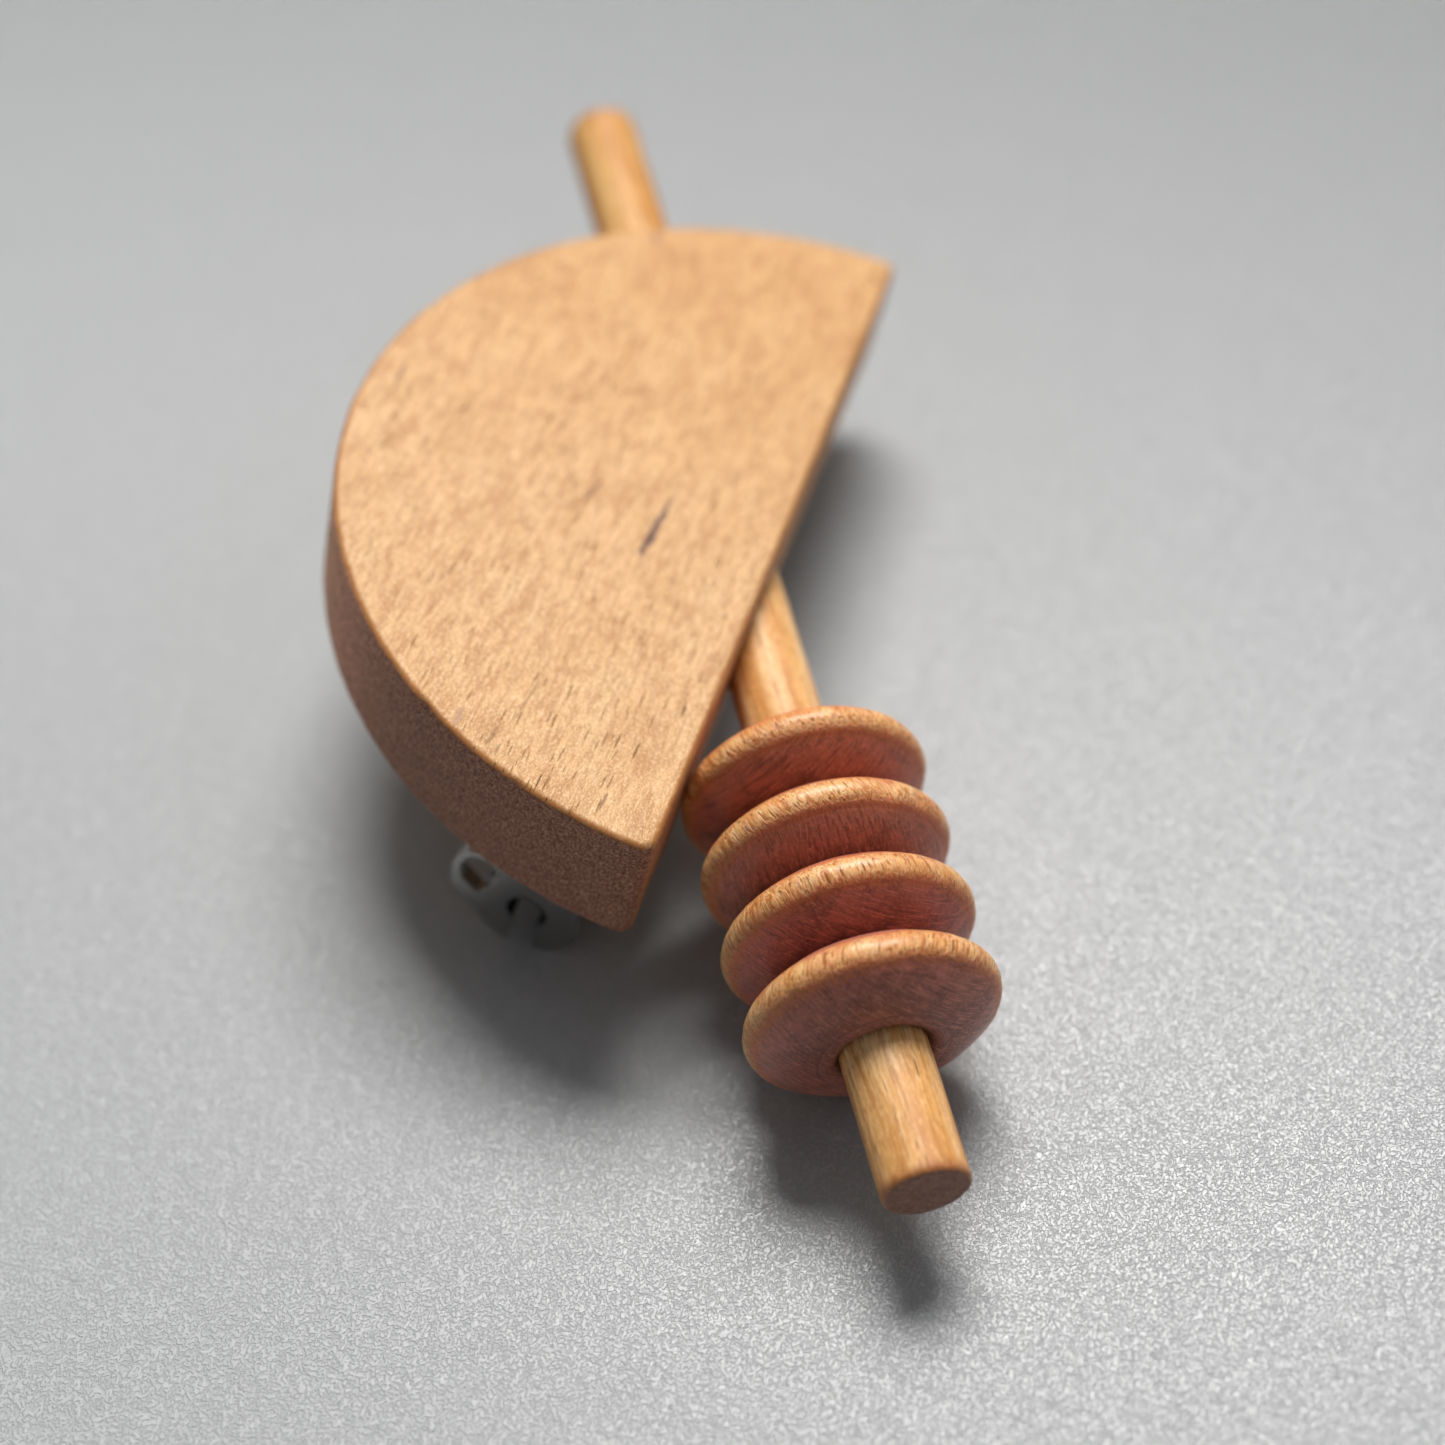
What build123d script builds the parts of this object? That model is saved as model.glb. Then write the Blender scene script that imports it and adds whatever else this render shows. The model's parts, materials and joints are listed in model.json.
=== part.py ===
from build123d import *
import os
from math import cos, sin, radians

os.makedirs("parts", exist_ok=True)

# ---------------------------------------------------------------------------
# Wooden brooch: a thick half disc crossed by a thin round stick that carries
# four lens-shaped beads, with a steel pin-back on the underside. Sizes in mm.
# The pieces are modelled in the half disc's frame:
#   origin  middle of the straight edge, on the front face
#   +X      along the straight edge, +Y towards the arc, +Z out of the front
# and are then tilted to the resting pose, centred in X and Y, lowest point at
# Z = 0.
# ---------------------------------------------------------------------------

# half disc
disc_r = 22.5
disc_t = 6.7
disc_edge_round = 0.35  # both faces
disc_corner_round = 0.7  # the two sharp corners
back_z = -disc_t  # back face of the wood

# stick; places along it are measured from where it crosses the straight edge
stick_r = 2.0
stick_angle = 30.0  # between the stick and the straight edge
stick_cross_x = -4.3
stick_z = -disc_t / 2  # middle of the thickness
stick_near = -31.8  # end beyond the beads
stick_far = 38.5  # end beyond the arc
stick_end_round = 0.3
stick_hole = (-8, 34)  # start and end of the cutter through the half disc

# beads
bead_count = 4
bead_r = 5.9
bead_first = -10.55  # centre of the first bead along the stick
bead_pitch = 4.13
bead_end_play = 0.03
bead_spin_clear = 0.06  # radial, on the beads that turn
bead_half_t = (bead_pitch - bead_end_play) / 2
bore_bevel = 0.34  # depth of the bevel at the bore
lip_in_r = 2.62  # raised ring at the bore
lip_out_r = 3.05
lip_flat_r = lip_out_r - 0.08  # outer edge of the ring's flat top
lip_root_r = lip_out_r + 0.06  # where the ring meets the flank
lip_drop = 0.17  # from the ring's top to its root
flank_mid_r = 4.42
flank_mid_z = 1.46
rim_inset = 0.52  # radial depth of the round rim
rim_half_t = 0.80

# pin-back: bar
bar_l, bar_w, bar_t = 38.0, 5.0, 0.7
bar_x0 = -18.6  # catch end
bar_y = 5.3  # centre line of the whole pin-back
bar_corner_round = 1.2
bar_chamfer = 0.15
bar_back_z = back_z - bar_t
glue_hole_r = 0.9
glue_hole_x = (-10.2, 0.4, 11.0)

# pin-back: catch housing
catch_z = -11.6  # centre of the catch and of the closed pin
house_r = 2.4
house_bore = 1.75
house_l = 2.4
house_foot_w = 3.4
mouth_angle = 84.0  # opening of the housing, away from the wood
cut_reach = 6  # how far the mouth and slot cutters reach below the catch axis
house_x0, house_x1 = bar_x0, bar_x0 + house_l

# pin-back: rotating lock
lock_clear = 0.05  # radial, in the housing
lock_end_gap = 0.05  # between each end of the housing and the lock
lock_bore = 0.97
lock_slot_w = 1.3  # the pin passes through this slot
flange_r, flange_l = 2.7, 0.9
collar_r, collar_l = 2.1, 0.4
flange_x1 = house_x0 - lock_end_gap
flange_x0 = flange_x1 - flange_l
collar_x0 = house_x1 + lock_end_gap
collar_x1 = collar_x0 + collar_l

# outlines of the thumb loop: (y, z) from the catch axis
loop_outside = [
    (0.5, 2.55), (2.1, 3.25), (3.45, 3.0), (4.0, 1.7),
    (3.95, 0.35), (3.0, -0.75), (1.0, -2.4),
]
loop_opening = [
    (2.5, 0.02), (3.45, 0.75), (3.6, 1.75),
    (3.2, 2.62), (2.25, 2.72), (1.62, 1.85),
]
loop_outside_round = 0.5
loop_opening_round = 0.2

# pin-back: hinge and pin
wire_r = 0.4
coil_r = 0.95  # centre line of the coil round the rivet
coil_pitch = 0.77
coil_turns = 3
coil_clear = 0.1  # between the coil and the bar
hinge_x = 16.9
hinge_z = catch_z + coil_r
ear_in = 1.26  # inner face of each ear, from the centre line
ear_t = 0.5
ear_r = 1.75
ear_overlap = 0.05  # how deep the ears sink into the bar
ear_out = ear_in + ear_t
rivet_r = 0.5
head_r, head_t, head_round = 0.85, 0.3, 0.2
pin_tip_x = -18.0
pin_tip_r = 0.09
taper_l = 6.0
neck_x = hinge_x - ear_r - 0.05  # end of the plain wire, just clear of the ears
neck_draw = 0.02  # how much the wire thins where it runs into the coil

# resting tilt about X and Y of the half disc's frame
tilt_x = 17.093
tilt_y = 2.387


# ---- helpers ----------------------------------------------------------------
def on_stick(along):
    """Plane square to the stick, its normal along the stick."""
    dir_x, dir_y = cos(radians(stick_angle)), sin(radians(stick_angle))
    return Plane(
        origin=(stick_cross_x + dir_x * along, dir_y * along, stick_z),
        x_dir=(0, 0, 1),
        z_dir=(dir_x, dir_y, 0),
    )


def stick_rod(start, end):
    """Plain rod of the stick's radius between two places along it."""
    return on_stick((start + end) / 2) * Cylinder(stick_r, end - start)


def on_catch_axis(x0, x1, solid):
    """Turns a solid's Z axis to +X and centres it between x0 and x1."""
    return Pos((x0 + x1) / 2, bar_y, catch_z) * Rot(0, 90, 0) * solid


def catch_cylinder(x0, x1, radius):
    return on_catch_axis(x0, x1, Cylinder(radius, x1 - x0))


def catch_cone(x0, x1, radius0, radius1):
    return on_catch_axis(x0, x1, Cone(radius0, radius1, x1 - x0))


def hinge_cylinder(from_y, to_y, radius):
    """Cylinder on the hinge axis; its ends are measured from the centre line."""
    return (
        Pos(hinge_x, bar_y + (from_y + to_y) / 2, hinge_z)
        * Rot(90, 0, 0)
        * Cylinder(radius, abs(to_y - from_y))
    )


def catch_prism(points, x0, length, corner_round=0):
    """Outline of (y, z) points from the catch axis, extruded from x0 along +X."""
    corners = [(bar_y + y, catch_z + z) for y, z in points]
    with BuildSketch(Plane.YZ.offset(x0)) as outline:
        with BuildLine():
            Polyline(*corners, corners[0])
        make_face()
        if corner_round:
            fillet(outline.vertices(), corner_round)
    return extrude(outline.sketch, length)


# ---- pieces -----------------------------------------------------------------
def make_half_disc():
    with BuildSketch() as outline:
        with BuildLine():
            Line((-disc_r, 0), (disc_r, 0))
            ThreePointArc((disc_r, 0), (0, disc_r), (-disc_r, 0))
        make_face()
    disc = Pos(0, 0, back_z) * extrude(outline.sketch, disc_t)
    disc = fillet(disc.edges().filter_by(Axis.Z), disc_corner_round)
    # the edges of both faces are the ones that lie flat
    rim = disc.edges().filter_by(lambda edge: abs(edge.bounding_box().size.Z) < 1e-6)
    disc = fillet(rim, disc_edge_round)
    return disc - stick_rod(*stick_hole)


def make_stick():
    stick = stick_rod(stick_near, stick_far)
    return fillet(stick.edges().filter_by(GeomType.CIRCLE), stick_end_round)


def make_bead(bore_r):
    """Lens-shaped bead about Z: raised ring at the bore, slightly convex
    flanks, round rim."""
    top = bead_half_t
    bore_top = top - bore_bevel
    root_z = top - lip_drop
    rim_r = bead_r - rim_inset
    with BuildSketch(Plane.XZ) as section:
        with BuildLine():
            Polyline(
                (lip_root_r, -root_z),
                (lip_flat_r, -top),
                (lip_in_r, -top),
                (bore_r, -bore_top),
                (bore_r, bore_top),
                (lip_in_r, top),
                (lip_flat_r, top),
                (lip_root_r, root_z),
            )
            ThreePointArc(
                (lip_root_r, root_z), (flank_mid_r, flank_mid_z), (rim_r, rim_half_t)
            )
            ThreePointArc((rim_r, rim_half_t), (bead_r, 0), (rim_r, -rim_half_t))
            ThreePointArc(
                (rim_r, -rim_half_t), (flank_mid_r, -flank_mid_z), (lip_root_r, -root_z)
            )
        make_face()
    return revolve(section.sketch, Axis.Z)


def make_beads():
    """The last bead is glued to the stick, the others turn on it."""
    beads = {}
    for i in range(bead_count):
        clearance = 0 if i == bead_count - 1 else bead_spin_clear
        place = on_stick(bead_first - i * bead_pitch)
        beads[f"bead_{i + 1}"] = place * make_bead(stick_r + clearance)
    return beads


def make_back_bar():
    """Flat bar with glue holes and two hinge ears."""
    bar_z = back_z - bar_t / 2
    bar = Pos(bar_x0 + bar_l / 2, bar_y, bar_z) * Box(bar_l, bar_w, bar_t)
    bar = fillet(bar.edges().filter_by(Axis.Z), bar_corner_round)
    for x in glue_hole_x:
        bar = bar - Pos(x, bar_y, bar_z) * Cylinder(glue_hole_r, bar_t * 3)
    # the face away from the wood
    bar = chamfer(bar.faces().sort_by(Axis.Z)[0].outer_wire().edges(), bar_chamfer)

    ear_root_z = bar_back_z + ear_overlap
    for side in (-1, 1):
        ear_y = bar_y + side * (ear_in + ear_t / 2)
        ear_foot = Pos(hinge_x, ear_y, (ear_root_z + hinge_z) / 2) * Box(
            2 * ear_r, ear_t, ear_root_z - hinge_z
        )
        bar = bar + ear_foot + hinge_cylinder(side * ear_in, side * ear_out, ear_r)
    bar = bar - hinge_cylinder(-4, 4, rivet_r)
    # room for the coil to turn over the bar
    return bar - hinge_cylinder(-ear_in, ear_in, coil_r + wire_r + coil_clear)


def make_hinge_rivet():
    rivet = hinge_cylinder(-ear_out, ear_out, rivet_r)
    for side, outermost in ((-1, 0), (1, -1)):
        head = hinge_cylinder(side * ear_out, side * (ear_out + head_t), head_r)
        rim = head.edges().filter_by(GeomType.CIRCLE).sort_by(Axis.Y)[outermost]
        rivet = rivet + fillet(rim, head_round)
    return rivet


def make_pin():
    """Coil of separate rings round the rivet, straight wire, tapered point."""
    rings = []
    for i in range(coil_turns):
        y = bar_y + (i - (coil_turns - 1) / 2) * coil_pitch
        rings.append(Pos(hinge_x, y, hinge_z) * Rot(90, 0, 0) * Torus(coil_r, wire_r))
    taper_x = pin_tip_x + taper_l
    wire = catch_cylinder(taper_x, neck_x, wire_r)
    neck = catch_cone(neck_x, hinge_x, wire_r, wire_r - neck_draw)
    point = catch_cone(pin_tip_x, taper_x, pin_tip_r, wire_r)
    pin = rings[0]
    for piece in rings[1:] + [wire, neck, point]:
        pin = pin + piece
    return pin


def make_catch_housing():
    """Open ring on a foot, its mouth facing away from the wood."""
    foot = Pos((house_x0 + house_x1) / 2, bar_y, (bar_back_z + catch_z) / 2) * Box(
        house_l, house_foot_w, bar_back_z - catch_z
    )
    house = catch_cylinder(house_x0, house_x1, house_r) + foot
    house = house - catch_cylinder(house_x0 - 1, house_x1 + 1, house_bore)
    half_angle = radians(mouth_angle / 2)
    mouth_y, mouth_z = cut_reach * sin(half_angle), -cut_reach * cos(half_angle)
    mouth = [(0, 0), (mouth_y, mouth_z), (-mouth_y, mouth_z)]
    return house - catch_prism(mouth, house_x0 - 1, house_l + 2)


def make_catch_lock():
    """Slotted sleeve with a flange and thumb loop at one end, a collar at the other."""
    lock = catch_cylinder(flange_x0, collar_x1, house_bore - lock_clear)
    lock = lock + catch_cylinder(flange_x0, flange_x1, flange_r)
    lock = lock + catch_cylinder(collar_x0, collar_x1, collar_r)
    lock = lock + catch_prism(loop_outside, flange_x0, flange_l, loop_outside_round)
    lock = lock - catch_prism(loop_opening, flange_x0, flange_l, loop_opening_round)
    lock = lock - catch_cylinder(flange_x0 - 1, collar_x0 + 2, lock_bore)
    slot_x = (flange_x0 + collar_x0) / 2
    slot = Pos(slot_x, bar_y, catch_z - cut_reach / 2) * Box(12, lock_slot_w, cut_reach)
    return lock - slot


# ---- laying down and writing ------------------------------------------------
shapes = {
    "half_disc": make_half_disc(),
    "stick": make_stick(),
    **make_beads(),
    "back_bar": make_back_bar(),
    "catch_housing": make_catch_housing(),
    "catch_lock": make_catch_lock(),
    "hinge_rivet": make_hinge_rivet(),
    "pin_stem": make_pin(),
}
tilt = Rot(tilt_x, 0, 0) * Rot(0, tilt_y, 0)
laid = {name: tilt * shape for name, shape in shapes.items()}
boxes = [shape.bounding_box() for shape in laid.values()]
shift = Pos(
    -(min(box.min.X for box in boxes) + max(box.max.X for box in boxes)) / 2,
    -(min(box.min.Y for box in boxes) + max(box.max.Y for box in boxes)) / 2,
    -min(box.min.Z for box in boxes),
)
for name, shape in laid.items():
    placed = shift * shape
    placed.label = name
    export_step(placed, f"parts/{name}.step")
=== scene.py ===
import bpy
import json
import math
import numpy as np
from mathutils import Matrix, Vector, noise

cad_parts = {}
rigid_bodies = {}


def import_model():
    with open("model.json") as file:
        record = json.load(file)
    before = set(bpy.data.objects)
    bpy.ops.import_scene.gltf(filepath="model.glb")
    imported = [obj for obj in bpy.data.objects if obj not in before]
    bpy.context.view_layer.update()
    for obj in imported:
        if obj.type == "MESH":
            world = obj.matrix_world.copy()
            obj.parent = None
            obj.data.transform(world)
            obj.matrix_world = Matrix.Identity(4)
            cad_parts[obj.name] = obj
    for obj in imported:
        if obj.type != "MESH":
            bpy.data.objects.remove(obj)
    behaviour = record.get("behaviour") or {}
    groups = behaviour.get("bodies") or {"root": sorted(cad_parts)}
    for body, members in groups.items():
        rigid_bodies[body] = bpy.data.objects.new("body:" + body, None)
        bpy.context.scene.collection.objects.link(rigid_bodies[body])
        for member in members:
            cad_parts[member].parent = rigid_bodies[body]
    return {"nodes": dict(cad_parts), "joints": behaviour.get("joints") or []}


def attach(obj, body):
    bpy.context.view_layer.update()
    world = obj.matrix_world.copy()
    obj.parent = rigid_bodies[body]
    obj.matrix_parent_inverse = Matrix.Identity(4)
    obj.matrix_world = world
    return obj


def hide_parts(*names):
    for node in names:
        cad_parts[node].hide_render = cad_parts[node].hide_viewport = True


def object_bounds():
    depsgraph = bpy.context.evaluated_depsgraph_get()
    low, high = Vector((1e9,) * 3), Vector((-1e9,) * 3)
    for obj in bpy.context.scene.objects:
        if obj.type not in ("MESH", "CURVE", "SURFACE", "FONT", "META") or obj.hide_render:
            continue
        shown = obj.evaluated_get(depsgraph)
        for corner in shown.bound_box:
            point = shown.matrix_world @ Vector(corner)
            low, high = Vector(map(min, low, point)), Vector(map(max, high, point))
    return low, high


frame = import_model()
cad_lo, cad_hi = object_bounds()
joints = {j["name"]: j for j in frame["joints"]}
MM = 0.001

# ---------------------------------------------------------------------------
# Frames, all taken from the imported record. The half disc's own frame has +X
# along the straight edge, +Y towards the arc and +Z out of the front face.
# ---------------------------------------------------------------------------
DISC_R, DISC_T, EDGE_R, CORNER_R = 22.5, 6.7, 0.35, 0.7
STICK_R, STICK_NEAR, STICK_FAR = 2.0, -31.8, 38.5
CROSS_X, STICK_Z, ANGLE = -4.3, -3.35, math.radians(30)
BEAD_S = [-10.55 - 4.13 * i for i in range(4)]
U = Vector((math.cos(ANGLE), math.sin(ANGLE), 0))

ax = -Vector(joints["lock_turn"]["axis"]).normalized()
ay = -Vector(joints["pin_hinge"]["axis"]).normalized()
az = ax.cross(ay).normalized()
rot = Matrix((ax, ay, az)).transposed()
bead_place = Vector(joints["bead_1_spin"]["pos_m"])
bead_local = Vector((CROSS_X, 0, STICK_Z)) + U * BEAD_S[0]
origin = bead_place - rot @ (bead_local * MM)
M_DISC = Matrix.Translation(origin) @ rot.to_4x4()

# stick frame: +Z along the stick, +X out of the front face
sz = U.copy()
sx = Vector((0, 0, 1))
sy = sz.cross(sx)
M_STICK = (
    M_DISC
    @ Matrix.Translation(Vector((CROSS_X, 0, STICK_Z)) * MM)
    @ Matrix((sx, sy, sz)).transposed().to_4x4()
)


# ---------------------------------------------------------------------------
# Mesh helpers
# ---------------------------------------------------------------------------
def mesh_object(name, verts_mm, faces, matrix, material, attrs=None):
    me = bpy.data.meshes.new(name)
    v = np.asarray(verts_mm, float) * MM
    me.from_pydata([tuple(p) for p in v], [], faces)
    me.validate()
    me.polygons.foreach_set("use_smooth", [True] * len(me.polygons))
    me.update()
    ob = bpy.data.objects.new(name, me)
    bpy.context.scene.collection.objects.link(ob)
    ob.matrix_world = matrix
    me.materials.append(material)
    return ob


def loft(rings, cap_start=True, cap_end=True):
    """Faces between closed rings that all have the same number of points."""
    n = len(rings[0])
    verts = np.concatenate(rings)
    faces = []
    for r in range(len(rings) - 1):
        a, b = r * n, (r + 1) * n
        for i in range(n):
            j = (i + 1) % n
            faces.append((a + i, a + j, b + j, b + i))
    if cap_start:
        faces.append(tuple(range(n - 1, -1, -1)))
    if cap_end:
        k = (len(rings) - 1) * n
        faces.append(tuple(range(k, k + n)))
    return verts, faces


def fbm(p, scale, octaves=3, seed=0.0):
    """Smooth noise at points p (mm), about -1 to 1."""
    out = np.zeros(len(p))
    off = Vector((seed * 13.7, seed * 7.1, seed * 3.3))
    for k, q in enumerate(p):
        out[k] = noise.fractal(
            Vector(q) * scale + off, 1.0, 2.0, octaves, noise_basis="PERLIN_ORIGINAL"
        )
    return out


# ---------------------------------------------------------------------------
# Node helpers
# ---------------------------------------------------------------------------
class Graph:
    def __init__(self, name):
        self.mat = bpy.data.materials.new(name)
        self.mat.use_nodes = True
        self.nt = self.mat.node_tree
        self.nt.nodes.clear()
        self.out = self.nt.nodes.new("ShaderNodeOutputMaterial")
        self.bsdf = self.nt.nodes.new("ShaderNodeBsdfPrincipled")
        self.nt.links.new(self.bsdf.outputs[0], self.out.inputs[0])

    def put(self, sock, v):
        if isinstance(v, bpy.types.NodeSocket):
            self.nt.links.new(v, sock)
        elif v is not None:
            if isinstance(v, (tuple, list)) and len(v) == 3 and sock.type == "RGBA":
                v = (*v, 1.0)
            sock.default_value = v

    def node(self, kind, **props):
        n = self.nt.nodes.new(kind)
        for k, v in props.items():
            setattr(n, k, v)
        return n

    def math(self, op, a, b=None, c=None, clamp=False):
        n = self.node("ShaderNodeMath", operation=op, use_clamp=clamp)
        self.put(n.inputs[0], a)
        if b is not None:
            self.put(n.inputs[1], b)
        if c is not None:
            self.put(n.inputs[2], c)
        return n.outputs[0]

    def vmath(self, op, a, b=None, scale=None):
        n = self.node("ShaderNodeVectorMath", operation=op)
        self.put(n.inputs[0], a)
        if b is not None:
            self.put(n.inputs[1], b)
        if scale is not None:
            self.put(n.inputs["Scale"], scale)
        return n.outputs["Value"] if op in ("LENGTH", "DOT_PRODUCT", "DISTANCE") else n.outputs[0]

    def mm(self):
        tc = self.node("ShaderNodeTexCoord")
        return self.vmath("SCALE", tc.outputs["Object"], scale=1000.0)

    def xyz(self, v):
        n = self.node("ShaderNodeSeparateXYZ")
        self.put(n.inputs[0], v)
        return n.outputs[0], n.outputs[1], n.outputs[2]

    def vec(self, x, y, z):
        n = self.node("ShaderNodeCombineXYZ")
        for s, v in zip(n.inputs, (x, y, z)):
            self.put(s, v)
        return n.outputs[0]

    def stretch(self, v, s, off=(0, 0, 0)):
        return self.vmath("ADD", self.vmath("MULTIPLY", v, s), off)

    def noise(self, v, scale=1.0, detail=3.0, rough=0.5, dist=0.0):
        n = self.node("ShaderNodeTexNoise")
        self.put(n.inputs["Vector"], v)
        self.put(n.inputs["Scale"], scale)
        self.put(n.inputs["Detail"], detail)
        self.put(n.inputs["Roughness"], rough)
        self.put(n.inputs["Distortion"], dist)
        return n.outputs[0]

    def cells(self, v, scale=1.0, rand=1.0, feature="F1"):
        n = self.node("ShaderNodeTexVoronoi", feature=feature)
        self.put(n.inputs["Vector"], v)
        self.put(n.inputs["Scale"], scale)
        self.put(n.inputs["Randomness"], rand)
        return n.outputs["Distance"], n.outputs["Color"]

    def step(self, x, lo, hi, a=0.0, b=1.0):
        n = self.node("ShaderNodeMapRange", interpolation_type="SMOOTHSTEP")
        self.put(n.inputs["Value"], x)
        for k, v in (("From Min", lo), ("From Max", hi), ("To Min", a), ("To Max", b)):
            self.put(n.inputs[k], v)
        return n.outputs[0]

    def ramp(self, f, stops, interp="LINEAR"):
        n = self.node("ShaderNodeValToRGB")
        e = n.color_ramp.elements
        n.color_ramp.interpolation = interp
        while len(e) < len(stops):
            e.new(0.5)
        for el, (pos, col) in zip(e, stops):
            el.position = pos
            el.color = (*col, 1.0)
        self.put(n.inputs[0], f)
        return n.outputs[0]

    def mix(self, f, a, b, blend="MIX"):
        n = self.node("ShaderNodeMix", data_type="RGBA", blend_type=blend)
        self.put(n.inputs[0], f)
        self.put(n.inputs[6], a)
        self.put(n.inputs[7], b)
        return n.outputs[2]

    def normal_local(self):
        g = self.node("ShaderNodeNewGeometry")
        t = self.node("ShaderNodeVectorTransform", vector_type="NORMAL", convert_from="WORLD", convert_to="OBJECT")
        self.put(t.inputs[0], g.outputs["Normal"])
        return self.vmath("NORMALIZE", t.outputs[0])

    def bump(self, h, depth_mm, strength=1.0, under=None):
        n = self.node("ShaderNodeBump")
        self.put(n.inputs["Strength"], strength)
        self.put(n.inputs["Distance"], depth_mm * MM)
        self.put(n.inputs["Height"], h)
        if under is not None:
            self.put(n.inputs["Normal"], under)
        return n.outputs[0]

    def finish(self, color, rough, normal=None, **kw):
        self.put(self.bsdf.inputs["Base Color"], color)
        self.put(self.bsdf.inputs["Roughness"], rough)
        if normal is not None:
            self.put(self.bsdf.inputs["Normal"], normal)
        for k, v in kw.items():
            self.put(self.bsdf.inputs[k.replace("_", " ")], v)
        return self.mat


def pores(g, p, along, cross, keep, size=0.32, seed=0.0, depth=None):
    """Vessel lines: long thin cells along the grain, only some of them open.
    p has the grain along its first axis. Returns a 0..1 mask."""
    q = g.stretch(p, (1.0 / along, 1.0 / cross, 1.0 / (depth or cross)), (seed, seed * 1.7, seed * 0.6))
    d, c = g.cells(q)
    r, gg, b = g.xyz(c)
    live = g.step(r, 1.0 - keep, 1.0 - keep + 0.04)
    wide = g.math("MULTIPLY_ADD", gg, size, size * 0.5)
    inside = g.math("SUBTRACT", 1.0, g.step(d, g.math("MULTIPLY", wide, 0.45), wide), clamp=True)
    return g.math("MULTIPLY", live, inside)


# ---------------------------------------------------------------------------
# Wood of the half disc: solid texture with the grain along X
# ---------------------------------------------------------------------------
def half_disc_wood():
    g = Graph("half_disc_oiled_wood")
    p = g.mm()
    x, y, z = g.xyz(p)
    n = g.normal_local()
    nx, ny, nz = g.xyz(n)
    # slight wander of the grain
    wob = g.noise(g.stretch(p, (0.05, 0.12, 0.12)), 1.0, 2.0, 0.5)
    wander = g.math("MULTIPLY", g.math("SUBTRACT", wob, 0.5), 1.6)
    pg = g.vec(x, g.math("ADD", y, wander), z)

    cloud = g.noise(g.stretch(pg, (0.16, 0.34, 0.34)), 1.0, 4.0, 0.55, 0.3)
    patch = g.noise(g.stretch(pg, (0.50, 1.30, 1.30), (7, 3, 1)), 1.0, 4.0, 0.62, 0.8)
    cross = g.noise(g.stretch(p, (1.10, 0.45, 0.45), (1, 9, 4)), 1.0, 3.0, 0.6, 0.7)
    fibre = g.noise(g.stretch(pg, (0.40, 4.2, 4.2)), 1.0, 3.0, 0.62, 0.15)
    fleck = g.noise(g.stretch(pg, (1.7, 5.0, 5.0), (2, 4, 6)), 1.0, 3.0, 0.65, 0.4)
    fine = g.noise(g.stretch(pg, (7.0, 11.0, 11.0)), 1.0, 3.0, 0.66)
    light = g.ramp(cloud, [(0.30, (0.640, 0.350, 0.138)), (0.50, (0.745, 0.440, 0.195)), (0.70, (0.800, 0.505, 0.245))])
    col = g.mix(g.step(patch, 0.49, 0.64, 0.0, 0.86), light, (0.52, 0.245, 0.080))
    col = g.mix(g.step(cross, 0.50, 0.68, 0.0, 0.48), col, (0.55, 0.28, 0.100))
    col = g.mix(g.step(fibre, 0.44, 0.64, 0.0, 0.66), col, (0.47, 0.225, 0.078))
    col = g.mix(g.step(fleck, 0.50, 0.68, 0.0, 0.48), col, (0.46, 0.220, 0.078))
    col = g.mix(g.step(fleck, 0.47, 0.32, 0.0, 0.48), col, (0.90, 0.61, 0.35))
    col = g.mix(g.step(fine, 0.50, 0.64, 0.0, 0.56), col, (0.44, 0.220, 0.085))
    col = g.mix(g.step(fine, 0.48, 0.35, 0.0, 0.60), col, (0.95, 0.67, 0.41))
    col = g.mix(g.step(x, -10.0, 19.0), col, g.vmath("MULTIPLY", col, (0.965, 0.905, 0.795)))
    # vessel lines: many faint, a few dark and longer
    vis = g.noise(g.stretch(p, (0.13, 0.22, 0.22), (3, 8, 2)), 1.0, 2.0, 0.5)
    gate = g.step(vis, 0.36, 0.58, 0.25, 1.0)
    pf = g.math("MULTIPLY", pores(g, pg, 1.9, 0.15, 0.60, 0.24, 1.0, 0.5), gate)
    pd = g.math("MULTIPLY", pores(g, pg, 3.4, 0.24, 0.30, 0.15, 5.0, 0.8), gate)
    col = g.mix(g.math("MULTIPLY", pf, 0.48), col, (0.33, 0.145, 0.046))
    col = g.mix(g.math("MULTIPLY", pd, 0.80), col, (0.19, 0.080, 0.030))

    # mineral streaks
    def streak(cx, cy, length, width, slope, tone, strength, col):
        dx = g.math("SUBTRACT", x, cx)
        dy = g.math("SUBTRACT", g.math("SUBTRACT", y, cy), g.math("MULTIPLY", dx, slope))
        wig = g.math("MULTIPLY", g.math("SUBTRACT", g.noise(g.stretch(p, (0.9, 2.2, 2.2), (cx, cy, 0)), 1.0, 3.0, 0.5), 0.5), width * 1.1)
        dy = g.math("ADD", dy, wig)
        u2 = g.math("POWER", g.math("DIVIDE", dx, length / 2), 2.0)
        half = g.math("MULTIPLY", g.math("SUBTRACT", 1.0, u2, clamp=True), width / 2)
        a = g.math("ABSOLUTE", dy)
        m = g.math("SUBTRACT", 1.0, g.step(a, g.math("MULTIPLY", half, 0.35), g.math("ADD", half, 0.03)), clamp=True)
        m = g.math("MULTIPLY", m, g.step(u2, 1.0, 0.80))
        m = g.math("MULTIPLY", m, g.step(z, -0.6, -0.1))
        return g.mix(g.math("MULTIPLY", m, strength), col, tone)

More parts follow.
